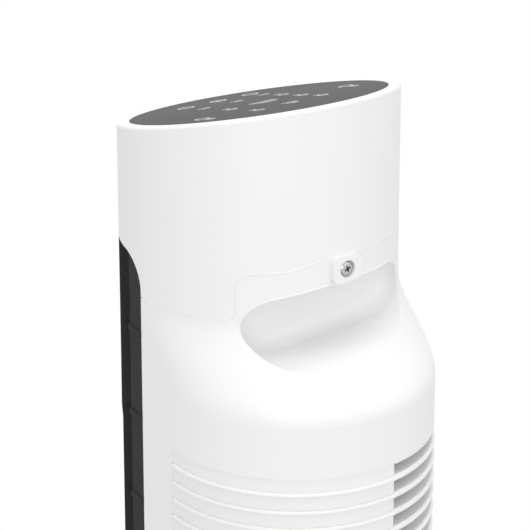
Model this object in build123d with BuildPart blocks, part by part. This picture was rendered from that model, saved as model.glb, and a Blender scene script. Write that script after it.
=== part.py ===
from build123d import *
import os
from math import acos, cos, pi, radians, sin, sqrt, tan

# Tower air purifier. Millimetres and degrees, +Z up, front towards -Y.
# The origin is the middle of the base where the feet meet the floor, on the axis that the column turns about.

# Outer form of the column
overall_height = 1000.0
body_radius = 80.0
body_taper = 0.005
rear_shift = 35.0
top_slant = 14.0
wall = 2.5
seam_gap = 0.4
seat_gap = 0.3
running_gap = 0.05

# Heights of the outer joints, measured down from the centre of the slanted top
seam_drop = 100.0
tab_drop = 67.0
tab_step = 5.4
tab_step_high_x = 12.0
tab_step_low_x = 34.0
tab_step_round = 60.0
tab_half_width = 57.0
tab_corner = 9.0
tab_foot_corner = 5.0
lap_depth = 1.0
lap_reach = 2.0
grille_top_drop = 77.0
grille_corner = 20.0
grille_edge = 2.0
shoulder_drop = 101.0
shoulder_depth = 51.0
shoulder_steps = 6

# Hand recess in the rear cover
scoop_drop = 103.9
scoop_x = 1.5
scoop_half_width = 54.2
scoop_end = 18.45
scoop_crown = 21.0
scoop_depth = 30.0
scoop_round = 10.0
scoop_tilt = 4.0
sill_radius = 35.0
sill_turn = 44.0
sill_run = 30.0
sill_steps = 6

# Rear ribs and intake louvres
vent_drop = 183.5
vent_rows = 60
vent_pitch = 10.7
vent_slat = 3.6
vent_depth = 12.0
vent_setback = 0.4
vent_frame = 2.0
vent_edge_x = 10.0
vent_side_y = 27.0
rib_crest = 2.2
rib_height = 1.0
rib_margin = 1.5

# Rear cover's screw
screw_drop = 75.0
boss_width = 20.0
boss_height = 16.0
boss_corner = 5.0
boss_rise = 2.5
screw_recess_radius = 5.0
screw_recess_depth = 2.6
screw_head_radius = 4.2
screw_head_height = 2.4
screw_radius = 2.0
screw_length = 18.0
clip_radius = 3.6
clip_thickness = 0.8

# Head and control panel
rim_width = 6.9
rim_round = 1.5
panel_thickness = 2.5
panel_gap = 0.2
ledge_thickness = 2.5
board_drop = 14.0
board_width = 96.0
board_length = 60.0
board_thickness = 1.6
board_post_radius = 3.5
touch_spring_radius = 3.0
touch_spring_bore = 2.0
touch_spring_pitch = 14.0
display_width = 26.0
display_length = 12.0

# Front grille
slat_count = 21
slat_spread = 130.0
slat_thickness = 2.2
slat_depth = 10.0
slat_setback = 0.6
first_cross_drop = 124.0
cross_pitch = 52.5
cross_thickness = 2.2
cross_rib_height = 1.2
cross_rib_thickness = 3.4
cross_rib_reach = 20.0
outlet_half_width = 74.0
outlet_corner = 12.0
outlet_top_drop = 180.0
outlet_base_rise = 30.0

# Base
base_radius = 150.0
base_side_height = 18.0
base_top_height = 40.0
base_top_radius = 80.0
base_wall = 3.0
base_edge_round = 5.0
foot_height = 3.0
foot_radius = 9.0
foot_circle = 118.0
foot_count = 6
base_plate_thickness = 3.0
ballast_inner_radius = 60.0
ballast_outer_radius = 110.0
ballast_thickness = 10.0
base_screw_circle = 132.0
base_boss_radius = 5.0
gland_radius = 5.0
gland_bore = 3.6
gland_length = 12.0
gland_height = 11.0

# Turntable
hub_radius = 52.0
hub_wall = 8.0
glide_width = 18.0
glide_thickness = 1.5
turntable_radius = 76.0
turntable_thickness = 5.0
retainer_radius = 62.0
retainer_thickness = 3.0

# Oscillation drive
gear_module = 1.0
fixed_teeth = 48
pinion_teeth = 16
gear_width = 10.0
gear_height = 20.0
gear_backlash = 0.3
gear_flange_radius = 20.0
gear_flange_thickness = 3.0
gear_stem_radius = 14.0
gear_bore_radius = 8.0
pinion_shaft_radius = 2.5
osc_motor_radius = 14.0
osc_motor_height = 19.0
osc_ear_width = 8.0
osc_ear_reach = 18.0
osc_ear_thickness = 2.0

# Lower housing and bulkheads
housing_height = 64.0
housing_floor = 3.0
plate_thickness = 3.0
upper_bulkhead_drop = 165.0
deck_post_x = 68.0
deck_post_y = 25.0
mount_ring_thickness = 2.7
mount_ring_rise = 20.0

# Cross-flow fan
fan_y = -22.0
impeller_radius = 48.0
impeller_inner_radius = 37.0
blade_count = 30
blade_thickness = 1.2
blade_lean = 14.0
disc_thickness = 2.5
disc_count = 6
impeller_gap = 12.0
shaft_radius = 4.0
coupling_radius = 12.0
coupling_height = 14.0
hub_bore_gap = 0.05
motor_radius = 34.0
motor_height = 42.0
motor_screw_circle = 26.0
bearing_radius = 7.0
bearing_height = 8.0
holder_radius = 14.0
holder_height = 10.0
scroll_clearance = 4.0
scroll_growth = 14.0
scroll_sheet = 2.5
tongue_clearance = 4.0
tongue_nose = 4.0
tongue_angle = 205.0

# Filter behind the louvres
filter_turn = 50.0
filter_width = 84.0
filter_depth = 22.0
filter_height = 590.0
filter_rim = 4.0
filter_lip = 1.5
pleat_count = 18
pleat_sheet = 0.9
mesh_thickness = 1.0
mesh_columns = 6
mesh_rows = 40
mesh_bar = 1.2
seal_thickness = 3.0
seal_width = 5.0

# Boards and small screws
power_board_width = 56.0
power_board_length = 56.0
standoff_height = 6.0
small_screw_radius = 1.5
small_head_radius = 3.0
small_head_height = 1.8
small_screw_length = 9.0
harness_radius = 2.5

# Places worked out from the sizes above
slant = radians(top_slant)
top_z = overall_height - body_radius * tan(slant)
head_y = -rear_shift / 2
rear_y = head_y + rear_shift
joint_y = head_y - grille_edge
seam_z = top_z - seam_drop
tab_z = top_z - tab_drop
screw_z = top_z - screw_drop
vent_z = top_z - vent_drop
vent_base_z = vent_z - vent_rows * vent_pitch
shoulder_z = top_z - shoulder_drop
scoop_z = top_z - scoop_drop
grille_top_z = top_z - grille_top_drop
outlet_top_z = top_z - outlet_top_drop
table_z = base_top_height + glide_thickness + turntable_thickness
column_z = table_z + housing_height
deck_z = column_z - plate_thickness
upper_z = top_z - upper_bulkhead_drop
gear_distance = gear_module * (fixed_teeth + pinion_teeth) / 2
plate_z = foot_height + base_plate_thickness
floor_z = table_z + housing_floor
span = 2 * (body_radius + rear_shift)
head_axis = Axis((0, head_y, 0), (0, 0, 1))
slant_plane = Plane(origin=(0, head_y, top_z), x_dir=(1, 0, 0), z_dir=(0, -sin(slant), cos(slant)))
screw_y = head_y + body_radius + body_taper * screw_drop + boss_rise
half_gap = seam_gap / 2


# Shared forms


def radius_at(height):
    """Radius of the column's round sides at one height."""
    return body_radius + body_taper * (top_z - height)


def rear_centre(height):
    """Y of the rear half's centre: over the head's axis at the neck, standing back below the shoulder."""
    share = min(max((shoulder_z - height) / shoulder_depth, 0), 1)
    return head_y + rear_shift * share * share * (3 - 2 * share)


def rear_section(height, inset, front_y):
    """Outline of the rear half at one height: flat front, straight sides, round back."""
    radius = radius_at(height) - inset
    centre = rear_centre(height)
    with BuildSketch(Plane.XY.offset(height)) as outline:
        with BuildLine():
            Polyline((-radius, centre), (-radius, front_y), (radius, front_y), (radius, centre))
            ThreePointArc((radius, centre), (0, centre + radius), (-radius, centre))
        make_face()
    return outline.sketch


def rear_form(inset):
    """Solid of the rear half from the lower housing to above the tab: column, shoulder and neck."""
    front_y = joint_y + half_gap
    shoulder = [shoulder_z - shoulder_depth * step / shoulder_steps for step in range(shoulder_steps + 1)]
    shoulder.reverse()
    ends = (column_z + half_gap, screw_z + 2 * boss_height)
    with BuildPart() as form:
        loft([rear_section(height, inset, front_y) for height in (ends[0], shoulder[0])], ruled=True)
        loft([rear_section(height, inset, front_y) for height in shoulder])
        loft([rear_section(height, inset, front_y) for height in (shoulder[-1], ends[1])], ruled=True)
    return form.part


def stadium(height, inset):
    """Whole outline of the column below the shoulder: round front, straight sides, round back."""
    radius = radius_at(height) - inset
    with BuildSketch(Plane.XY.offset(height)) as outline:
        with BuildLine():
            Line((radius, head_y), (radius, rear_y))
            ThreePointArc((radius, rear_y), (0, rear_y + radius), (-radius, rear_y))
            Line((-radius, rear_y), (-radius, head_y))
            ThreePointArc((-radius, head_y), (0, head_y - radius), (radius, head_y))
        make_face()
    return outline.sketch


def round_form(low, high, inset):
    """Tapered round solid on the head's axis between two heights."""
    with BuildPart() as form:
        with BuildSketch(Plane(origin=(0, head_y, 0), x_dir=(1, 0, 0), z_dir=(0, -1, 0))):
            with BuildLine():
                Polyline(
                    (0, low),
                    (radius_at(low) - inset, low),
                    (radius_at(high) - inset, high),
                    (0, high),
                    close=True,
                )
            make_face()
        revolve(axis=head_axis)
    return form.part


def cover_outline(grow):
    """Rear cover's edge seen from behind: side seams and a raised tab, lower at +X, all let out by grow."""
    far = span
    half = tab_half_width + grow
    shelf = seam_z + grow
    high = tab_z + grow
    low = high - tab_step
    with BuildSketch(Plane.XZ) as outline:
        with BuildLine():
            Polyline((far, shelf), (far, 0), (-far, 0), (-far, shelf), (-half, shelf), (-half, high))
            Polyline((-half, high), (tab_step_high_x, high), (tab_step_low_x, low), (half, low))
            Polyline((half, low), (half, shelf), (far, shelf))
        make_face()

        def corners(x, y):
            points = outline.vertices()
            return points.filter_by(lambda point: abs(point.X - x) + abs(point.Y - y) < seat_gap)

        fillet(corners(-half, high) + corners(half, low), tab_corner)
        fillet(corners(-half, shelf) + corners(half, shelf), tab_foot_corner)
        fillet(corners(tab_step_high_x, high) + corners(tab_step_low_x, low), tab_step_round)
    return outline.sketch


def cover_block(grow):
    """Block from the column's axis to the rear with the rear cover's outline."""
    with BuildPart() as block:
        with BuildSketch(Plane.XZ):
            add(cover_outline(grow))
        extrude(amount=-span)
    return block.part


def scoop_outline(grow):
    """Mouth of the hand recess: round ends between a flat floor and a crowned top."""
    end = scoop_end + grow
    rise = scoop_crown + grow
    centre = scoop_half_width - scoop_end
    crown = (centre**2 + rise**2 - end**2) / (2 * (rise - end))
    touch_x = centre * crown / (crown - end)
    touch_y = rise - crown + crown * (crown - rise) / (crown - end)
    with BuildSketch() as outline:
        with BuildLine():
            ThreePointArc((-touch_x, touch_y), (0, rise), (touch_x, touch_y))
            ThreePointArc((touch_x, touch_y), (centre + end, 0), (centre, -end))
            Line((centre, -end), (-centre, -end))
            ThreePointArc((-centre, -end), (-centre - end, 0), (-touch_x, touch_y))
        make_face()
    return outline.sketch


def scoop(grow):
    """Hand recess, lower at +X: a pocket as far as the neck, then a mouth that flares into a round sill.

    Grow lets it out for the lining."""
    tilt = radians(scoop_tilt)
    neck_place = (scoop_x, head_y + body_radius, scoop_z)
    neck = Plane(origin=neck_place, x_dir=(cos(tilt), 0, -sin(tilt)), z_dir=(0, -1, 0))
    turn = radians(sill_turn)
    rim = neck.offset(-sill_radius * sin(turn))
    rim_grow = grow + sill_radius * (1 - cos(turn))
    with BuildPart() as flare:
        for step in range(sill_steps + 1):
            angle = turn * step / sill_steps
            with BuildSketch(neck.offset(-sill_radius * sin(angle))):
                add(scoop_outline(grow + sill_radius * (1 - cos(angle))))
        loft()
    with BuildPart() as mouth:
        with BuildSketch(rim):
            add(scoop_outline(rim_grow))
        with BuildSketch(rim.offset(-sill_run)):
            add(scoop_outline(rim_grow + sill_run * tan(turn)))
        loft(ruled=True)
    with BuildPart() as pocket:
        with BuildSketch(neck.offset(scoop_depth + grow)):
            add(scoop_outline(grow))
        extrude(amount=-scoop_depth - grow)
        fillet(pocket.edges().group_by(Axis.Y)[0], scoop_round + grow)
        add(flare.part)
        add(mouth.part)
    return pocket.part


def pan_screw(head_radius, head_height, shank_radius, length):
    """Pan-head screw standing on +Z: head below the origin, shank above it, slot across the head."""
    with BuildPart() as screw:
        with BuildSketch(Plane.XY.offset(-head_height)):
            Circle(head_radius)
        extrude(amount=head_height)
        fillet(screw.edges().group_by(Axis.Z)[0], head_height / 3)
        with BuildSketch():
            Circle(shank_radius)
        extrude(amount=length)
        with BuildSketch(Plane.XY.offset(-head_height)):
            Rectangle(head_radius, head_radius / 4)
            Rectangle(head_radius / 4, head_radius)
        extrude(amount=head_height / 2, mode=Mode.SUBTRACT)
    return screw.part


def screw_group(length, places):
    """One small screw at each place; a place is a Location whose +Z is the way the shank points."""
    screw = pan_screw(small_head_radius, small_head_height, small_screw_radius, length)
    with BuildPart() as group:
        with Locations(*places):
            add(screw)
    return group


def raised(places, height):
    """The same places at another height, with +Z up."""
    return [place * Location((0, 0, height)) for place in places]


def downward(places, height):
    """The same places at another height, with +Z turned down for a screw driven from above."""
    return [place * Location((0, 0, height), (180, 0, 0)) for place in places]


def gear_outline(teeth):
    """Spur gear outline with involute flanks, a tooth centred on +X, thinned for backlash."""
    pitch_radius = gear_module * teeth / 2
    base_circle = pitch_radius * cos(radians(20))
    root = pitch_radius - 1.25 * gear_module
    tip = pitch_radius + gear_module

    def half_angle(radius):
        turn = acos(min(base_circle / radius, 1))
        start = radians(20)
        return pi / (2 * teeth) - gear_backlash / (2 * pitch_radius) + tan(start) - start - tan(turn) + turn

    steps = [root - gear_module / 4, max(root, base_circle), pitch_radius, (pitch_radius + tip) / 2, tip]
    flank = [(radius * cos(half_angle(radius)), radius * sin(half_angle(radius))) for radius in steps]
    with BuildSketch(mode=Mode.PRIVATE) as tooth:
        with BuildLine():
            Polyline(*flank, *[(x, -y) for x, y in reversed(flank)], close=True)
        make_face()
    with BuildSketch() as outline:
        Circle(root)
        with PolarLocations(0, teeth):
            add(tooth.sketch)
    return outline.sketch


def tilted(angle):
    """Turn a gear outline about its own centre."""
    return Location((0, 0, 0), (0, 0, angle))


# Base, standing on the floor

with BuildPart() as base_cover:
    side_z = foot_height + base_side_height
    with BuildSketch(Plane.XZ):
        with BuildLine():
            Polyline(
                (hub_radius, base_top_height),
                (base_top_radius, base_top_height),
                (base_radius, side_z),
                (base_radius, foot_height),
                (base_radius - base_wall, foot_height),
                (base_radius - base_wall, side_z - base_wall),
                (base_top_radius, base_top_height - base_wall),
                (hub_radius, base_top_height - base_wall),
                close=True,
            )
        make_face()
    revolve(axis=Axis.Z)
    rims = base_cover.edges().filter_by(GeomType.CIRCLE)
    shoulder_rim = rims.filter_by(lambda rim: rim.radius > base_radius - 1 and rim.center().Z > side_z - 1)
    fillet(shoulder_rim, base_edge_round)
    cover_slope = (base_top_height - side_z) / (base_radius - base_top_radius)
    boss_top = side_z + cover_slope * (base_radius - base_screw_circle - base_boss_radius)
    with BuildSketch(Plane.XY.offset(plate_z)):
        with PolarLocations(base_screw_circle, foot_count):
            Circle(base_boss_radius)
            Circle(small_screw_radius + running_gap, mode=Mode.SUBTRACT)
    extrude(amount=boss_top - base_wall / 2 - plate_z)
    with Locations(Location((0, base_radius, gland_height), (90, 0, 0))):
        Cylinder(gland_radius, 2 * gland_length, mode=Mode.SUBTRACT)

with BuildPart() as base_plate:
    with BuildSketch(Plane.XY.offset(foot_height)):
        Circle(base_radius - base_wall - seat_gap)
        Circle(gear_bore_radius, mode=Mode.SUBTRACT)
        with PolarLocations(base_screw_circle, foot_count):
            Circle(small_screw_radius + running_gap, mode=Mode.SUBTRACT)
    extrude(amount=base_plate_thickness)

with BuildPart() as ballast_ring:
    with BuildSketch(Plane.XY.offset(plate_z)):
        Circle(ballast_outer_radius)
        Circle(ballast_inner_radius, mode=Mode.SUBTRACT)
    extrude(amount=ballast_thickness)
    chamfer(ballast_ring.edges().group_by(Axis.Z)[-1], base_plate_thickness / 3)

with BuildPart() as base_feet:
    with BuildSketch():
        with PolarLocations(foot_circle, foot_count, start_angle=180 / foot_count):
            Circle(foot_radius)
    extrude(amount=foot_height)
    chamfer(base_feet.edges().group_by(Axis.Z)[0], foot_height / 5)

base_screw_places = PolarLocations(base_screw_circle, foot_count).locations
base_screws = screw_group(small_screw_length, raised(base_screw_places, foot_height))

with BuildPart() as fixed_gear:
    with BuildSketch(Plane.XY.offset(plate_z)):
        Circle(gear_flange_radius)
    extrude(amount=gear_flange_thickness)
    with BuildSketch(Plane.XY.offset(plate_z)):
        Circle(gear_stem_radius)
    extrude(amount=gear_height - plate_z + gear_width / 2)
    with BuildSketch(Plane.XY.offset(gear_height)):
        add(gear_outline(fixed_teeth).moved(tilted(180 / fixed_teeth)))
    extrude(amount=gear_width)
    Hole(gear_bore_radius)

with BuildPart() as glide_ring:
    with BuildSketch(Plane.XY.offset(base_top_height)):
        Circle(hub_radius + seat_gap + glide_width)
        Circle(hub_radius + seat_gap, mode=Mode.SUBTRACT)
    extrude(amount=glide_thickness)

with BuildPart() as cord_gland:
    with BuildSketch(Plane(origin=(0, base_radius, gland_height), x_dir=(1, 0, 0), z_dir=(0, -1, 0))):
        Circle(gland_radius - running_gap)
        Circle(gland_bore, mode=Mode.SUBTRACT)
    extrude(amount=gland_length)

# Turntable and lower housing, turning on the base

screw_hole = small_screw_radius + running_gap
retainer_z = base_top_height - base_wall - seat_gap - retainer_thickness
retainer_places = PolarLocations(hub_radius - hub_wall / 2, 4, start_angle=45).locations
housing_places = PolarLocations(hub_radius + hub_wall, 4).locations
ear_places = [Location((side * osc_ear_reach, gear_distance, 0)) for side in (-1, 1)]
with BuildPart() as turntable:
    with BuildSketch(Plane.XY.offset(base_top_height + glide_thickness)):
        Circle(turntable_radius)
        Circle(gear_bore_radius, mode=Mode.SUBTRACT)
        with Locations((0, gear_distance)):
            Circle(2 * pinion_shaft_radius, mode=Mode.SUBTRACT)
    extrude(amount=turntable_thickness)
    with BuildSketch(Plane.XY.offset(base_top_height - base_wall - seat_gap)):
        Circle(hub_radius - running_gap)
        Circle(hub_radius - hub_wall, mode=Mode.SUBTRACT)
    extrude(until=Until.NEXT)
    with Locations(*raised(retainer_places + housing_places, table_z)):
        Hole(screw_hole)

with BuildPart() as turntable_retainer:
    with BuildSketch(Plane.XY.offset(retainer_z)):
        Circle(retainer_radius)
        Circle(hub_radius - hub_wall, mode=Mode.SUBTRACT)
        with Locations(*retainer_places):
            Circle(screw_hole, mode=Mode.SUBTRACT)
    extrude(amount=retainer_thickness)

retainer_screws = screw_group(small_screw_length, raised(retainer_places, retainer_z))

board_x = osc_ear_reach + power_board_width / 2
board_y = rear_y - harness_radius
board_corners = GridLocations(power_board_width - 10, power_board_length - 10, 2, 2).locations
board_places = [Location((board_x, board_y, 0)) * place for place in board_corners]
deck_places = [Location((side * deck_post_x, head_y - deck_post_y, 0)) for side in (-1, 1)]
with BuildPart() as lower_housing:
    loft([stadium(table_z, 0), stadium(column_z, 0)], ruled=True)
    loft([stadium(floor_z, wall), stadium(column_z, wall)], ruled=True, mode=Mode.SUBTRACT)
    with BuildSketch(Plane.XY.offset(floor_z)):
        with Locations(*board_places):
            Circle(2 * small_screw_radius)
    extrude(amount=standoff_height)
    with BuildSketch(Plane.XY.offset(floor_z)):
        with Locations(*deck_places):
            Circle(2 * small_screw_radius)
    extrude(amount=deck_z - floor_z)
    with Locations((0, 0, floor_z)):
        Hole(gear_bore_radius)
    with Locations((0, gear_distance, floor_z)):
        Hole(2 * pinion_shaft_radius)
    with Locations(*raised(board_places + deck_places + housing_places + ear_places, floor_z)):
        Hole(screw_hole)

housing_screws = screw_group(housing_floor + turntable_thickness, downward(housing_places, floor_z))

# Bulkheads and air path between the two ends of the fan

motor_places = [Location((0, fan_y, 0)) * place for place in PolarLocations(motor_screw_circle, 3).locations]
harness_x = body_radius - 5 * harness_radius
harness_y = rear_y - 2 * harness_radius
harness_hole = harness_radius + seat_gap
with BuildPart() as lower_bulkhead:
    add(stadium(deck_z, wall + seat_gap))
    extrude(amount=plate_thickness)
    with Locations((0, fan_y, deck_z)):
        Hole(2 * shaft_radius)
    with Locations((harness_x, harness_y, deck_z)):
        Hole(harness_hole)
    with Locations(*raised(motor_places + deck_places, deck_z)):
        Hole(screw_hole)

with BuildPart() as upper_bulkhead:
    add(stadium(upper_z, wall + 2 * seat_gap))
    extrude(amount=plate_thickness)
    with Locations((0, fan_y, upper_z)):
        Hole(bearing_radius + running_gap)
    with Locations((harness_x, harness_y, upper_z)):
        Hole(harness_hole)

bulkhead_screws = screw_group(small_screw_length, downward(deck_places, column_z))

scroll_start = impeller_radius + scroll_clearance
scroll_side = scroll_start + scroll_growth / 2
scroll_end = scroll_start + scroll_growth
divider_x = impeller_radius / 5
divider_y = fan_y + sqrt(scroll_start**2 - divider_x**2)
duct_height = upper_z - column_z
with BuildPart() as scroll_wall:
    with BuildSketch(Plane.XY.offset(column_z)):
        with BuildLine():
            Line((divider_x, divider_y + scroll_end - scroll_start + filter_depth), (divider_x, divider_y))
            ThreePointArc(
                (divider_x, divider_y),
                (scroll_side * cos(radians(25)), fan_y + scroll_side * sin(radians(25))),
                (scroll_end * cos(radians(40)), fan_y - scroll_end * sin(radians(40))),
            )
        trace(line_width=scroll_sheet)
    extrude(amount=duct_height)

tongue_reach = impeller_radius + tongue_clearance + tongue_nose
tongue_root = radius_at(upper_z) - slat_setback - slat_depth - scroll_sheet
tongue_turn = radians(tongue_angle)
tongue_x = tongue_reach * cos(tongue_turn)
tongue_y = fan_y + tongue_reach * sin(tongue_turn)
tongue_foot = (tongue_root * cos(tongue_turn), head_y + tongue_root * sin(tongue_turn))
with BuildPart() as airflow_tongue:
    with BuildSketch(Plane.XY.offset(column_z)):
        with Locations((tongue_x, tongue_y)):
            Circle(tongue_nose)
        with BuildLine():
            Line((tongue_x, tongue_y), tongue_foot)
        trace(line_width=scroll_sheet)
    extrude(amount=duct_height)

# Front grille, head mount and head

outlet_base_z = column_z + outlet_base_rise
cross_count = int((top_z - first_cross_drop - column_z) / cross_pitch) + 1
cross_heights = [top_z - first_cross_drop - cross_pitch * step for step in range(cross_count)]


def grille_block(grow):
    """Block along X with the grille's outline from the side: straight rear edge, rounded upper corner."""
    edge_y = joint_y - half_gap + grow
    edge_z = grille_top_z - half_gap + grow
    with BuildPart() as block:
        with Locations((0, edge_y, edge_z)):
            Box(2 * span, span, overall_height, align=(Align.CENTER, Align.MAX, Align.MAX))
        corner = block.edges().filter_by(Axis.X).group_by(Axis.Z)[-1].sort_by(Axis.Y)[-1]
        fillet(corner, grille_corner)
    return block.part


def ring_band(height, outer_inset, inner_inset, rear_edge, front_edge):
    """Piece of a ring round the head's axis at one height, kept between two Y planes."""
    with BuildSketch(Plane.XY.offset(height)) as band:
        with Locations((0, head_y)):
            Circle(radius_at(height) - outer_inset)
            Circle(radius_at(height) - inner_inset, mode=Mode.SUBTRACT)
        with Locations((0, rear_edge)):
            Rectangle(2 * span, rear_edge - front_edge, align=(Align.CENTER, Align.MAX), mode=Mode.INTERSECT)
    return band.sketch


with BuildPart() as grille_slat:
    with BuildSketch(Plane.XZ):
        with BuildLine():
            low_z = outlet_base_z - outlet_corner / 2
            high_z = outlet_top_z + outlet_corner / 2
            Polyline(
                (radius_at(low_z) - slat_setback, low_z),
                (radius_at(high_z) - slat_setback, high_z),
                (radius_at(high_z) - slat_setback - slat_depth, high_z),
                (radius_at(low_z) - slat_setback - slat_depth, low_z),
                close=True,
            )
        make_face()
    extrude(amount=slat_thickness / 2, both=True)

flange_edge = joint_y - half_gap - slat_setback
rib_end = flange_edge - cross_rib_reach + cross_rib_thickness / 2
with BuildPart() as flange_ribs:
    with BuildSketch(Plane.YZ):
        for height in cross_heights:
            with Locations((flange_edge, height)):
                Rectangle(flange_edge - rib_end, cross_rib_thickness, align=(Align.MAX, Align.MIN))
            with Locations((rib_end, height + cross_rib_thickness / 2)):
                Circle(cross_rib_thickness / 2)
    extrude(amount=span, both=True)
    add(round_form(column_z, grille_top_z, -cross_rib_height), mode=Mode.INTERSECT)
    add(round_form(column_z - wall, grille_top_z + wall, slat_setback), mode=Mode.SUBTRACT)

with BuildPart() as front_grille:
    add(round_form(column_z + half_gap, grille_top_z + wall, 0))
    add(round_form(column_z, grille_top_z + 2 * wall, wall), mode=Mode.SUBTRACT)
    add(grille_block(0), mode=Mode.INTERSECT)
    with BuildSketch(Plane.XZ):
        with Locations((0, (outlet_base_z + outlet_top_z) / 2)):
            RectangleRounded(2 * outlet_half_width, outlet_top_z - outlet_base_z, outlet_corner)
    extrude(amount=span, mode=Mode.SUBTRACT)
    with Locations((0, head_y)):
        with PolarLocations(0, slat_count, -90 - slat_spread / 2, slat_spread, endpoint=True):
            add(grille_slat.part)
    lattice_edge = head_y - sqrt(body_radius**2 - outlet_half_width**2) + wall
    for height in cross_heights:
        if outlet_base_z < height < outlet_top_z:
            add(ring_band(height, 2 * slat_setback, slat_depth - wall, lattice_edge, head_y - span))
    extrude(amount=cross_thickness)
    add(flange_ribs.part)

ring_z = screw_z + boss_height / 2 + wall
block_y = head_y + radius_at(screw_z) - wall - 2 * clip_thickness
block_width = 4 * clip_radius
with BuildPart() as head_mount:
    add(round_form(upper_z + plate_thickness, ring_z + mount_ring_rise, wall + seat_gap))
    inner_inset = wall + seat_gap + mount_ring_thickness
    add(round_form(upper_z, ring_z + 2 * mount_ring_rise, inner_inset), mode=Mode.SUBTRACT)
    with Locations((0, joint_y - wall, ring_z)):
        Box(span, span, overall_height, align=(Align.CENTER, Align.MIN, Align.MAX), mode=Mode.SUBTRACT)
    with Locations((0, block_y, screw_z - clip_radius)):
        block_height = ring_z + mount_ring_rise / 2 - (screw_z - clip_radius)
        Box(block_width, screw_length, block_height, align=(Align.CENTER, Align.MAX, Align.MIN))
    with BuildSketch(Plane.XZ.offset(-block_y)):
        with Locations((0, screw_z)):
            Circle(screw_radius + running_gap)
    extrude(amount=screw_length, mode=Mode.SUBTRACT)

panel_floor = slant_plane.offset(-panel_thickness)
shell_floor = slant_plane.offset(-panel_thickness - ledge_thickness)
board_plane = shell_floor.offset(-board_drop)
post_places = GridLocations(board_width - 10, board_length - 10, 2, 2).locations


def upright_disc(radius, plane, keep):
    """Upright round plug on the head's axis, cut by a plane that follows the slanted top."""
    with BuildPart() as plug:
        with Locations((0, head_y, top_z)):
            Cylinder(radius, 2 * body_radius)
        split(bisect_by=plane, keep=keep)
    return plug.part


with BuildPart() as head_inside:
    add(round_form(seam_z - wall, overall_height + wall, wall))
    split(bisect_by=shell_floor, keep=Keep.BOTTOM)

with BuildPart() as lap_tongue:
    add(round_form(seam_z - lap_reach, seam_z + wall, lap_depth + seat_gap))
    with Locations((0, joint_y + wall, seam_z)):
        Box(span, span, span, align=(Align.CENTER, Align.MIN, Align.CENTER), mode=Mode.INTERSECT)

with BuildPart() as lap_cut:
    add(cover_block(half_gap))
    add(round_form(seam_z - wall, overall_height, lap_depth + seat_gap), mode=Mode.SUBTRACT)
    add(cover_block(-lap_reach))

with BuildPart() as head_shell:
    add(round_form(seam_z + half_gap, overall_height + wall, 0))
    split(bisect_by=slant_plane, keep=Keep.BOTTOM)
    add(lap_tongue.part)
    add(head_inside.part, mode=Mode.SUBTRACT)
    add(upright_disc(body_radius - rim_width, panel_floor, Keep.TOP), mode=Mode.SUBTRACT)
    edges = head_shell.edges()
    rim = edges.filter_by(lambda edge: abs(slant_plane.to_local_coords(edge.center()).Z) < seat_gap)
    fillet(rim.sort_by(SortBy.LENGTH)[-1], rim_round)
    add(lap_cut.part, mode=Mode.SUBTRACT)
    add(grille_block(seam_gap), mode=Mode.SUBTRACT)
    with BuildSketch(shell_floor):
        Rectangle(display_width + 2 * seat_gap, display_length + 2 * seat_gap)
    extrude(amount=ledge_thickness, mode=Mode.SUBTRACT)
    with BuildSketch(shell_floor):
        with Locations(*post_places):
            Circle(board_post_radius)
            Circle(small_screw_radius + running_gap, mode=Mode.SUBTRACT)
    extrude(amount=-board_drop)

with BuildPart() as control_panel:
    add(upright_disc(body_radius - rim_width - panel_gap, panel_floor, Keep.TOP))
    split(bisect_by=slant_plane, keep=Keep.BOTTOM)

with BuildPart() as control_board:
    with BuildSketch(board_plane):
        Rectangle(board_width, board_length)
        with Locations(*post_places):
            Circle(small_screw_radius + running_gap, mode=Mode.SUBTRACT)
    extrude(amount=-board_thickness)

with BuildPart() as display_module:
    with BuildSketch(board_plane):
        Rectangle(display_width, display_length)
    extrude(amount=board_drop + ledge_thickness)

with BuildPart() as touch_springs:
    with BuildSketch(board_plane):
        with GridLocations(touch_spring_pitch, 3 * display_length, 5, 2):
            Circle(touch_spring_radius)
            Circle(touch_spring_bore, mode=Mode.SUBTRACT)
    extrude(amount=board_drop)

board_under = board_plane.offset(-board_thickness).location
control_board_screws = screw_group(small_screw_length, [board_under * place for place in post_places])

# Fan motor, cross-flow impeller and its bearing

with BuildPart() as fan_motor:
    with BuildSketch(Plane.XY.offset(deck_z - motor_height)):
        with Locations((0, fan_y)):
            Circle(motor_radius)
    extrude(amount=motor_height)
    fillet(fan_motor.edges().group_by(Axis.Z)[0], wall)
    with Locations((0, fan_y, deck_z)):
        Hole(shaft_radius + running_gap)
    with Locations(*raised(motor_places, deck_z)):
        Hole(screw_hole, depth=small_screw_length)

motor_screws = screw_group(small_screw_length, downward(motor_places, column_z))

impeller_z = column_z + impeller_gap
impeller_top_z = upper_z - impeller_gap
coupling_z = impeller_z - impeller_gap / 3
with BuildPart() as motor_shaft:
    with BuildSketch(Plane.XY.offset(deck_z - motor_height + wall)):
        with Locations((0, fan_y)):
            Circle(shaft_radius)
    extrude(amount=coupling_z + coupling_height / 2 - (deck_z - motor_height + wall))

with BuildPart() as drive_coupling:
    with BuildSketch(Plane.XY.offset(coupling_z)):
        with Locations((0, fan_y)):
            Circle(coupling_radius)
    extrude(amount=coupling_height)
    with Locations((0, fan_y, coupling_z)):
        Cylinder(shaft_radius + hub_bore_gap, coupling_height, mode=Mode.SUBTRACT)

with BuildPart() as stub_shaft:
    with BuildSketch(Plane.XY.offset(impeller_top_z - coupling_height)):
        with Locations((0, fan_y)):
            Circle(shaft_radius)
    extrude(amount=impeller_gap + plate_thickness + coupling_height + bearing_height / 2)

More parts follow.
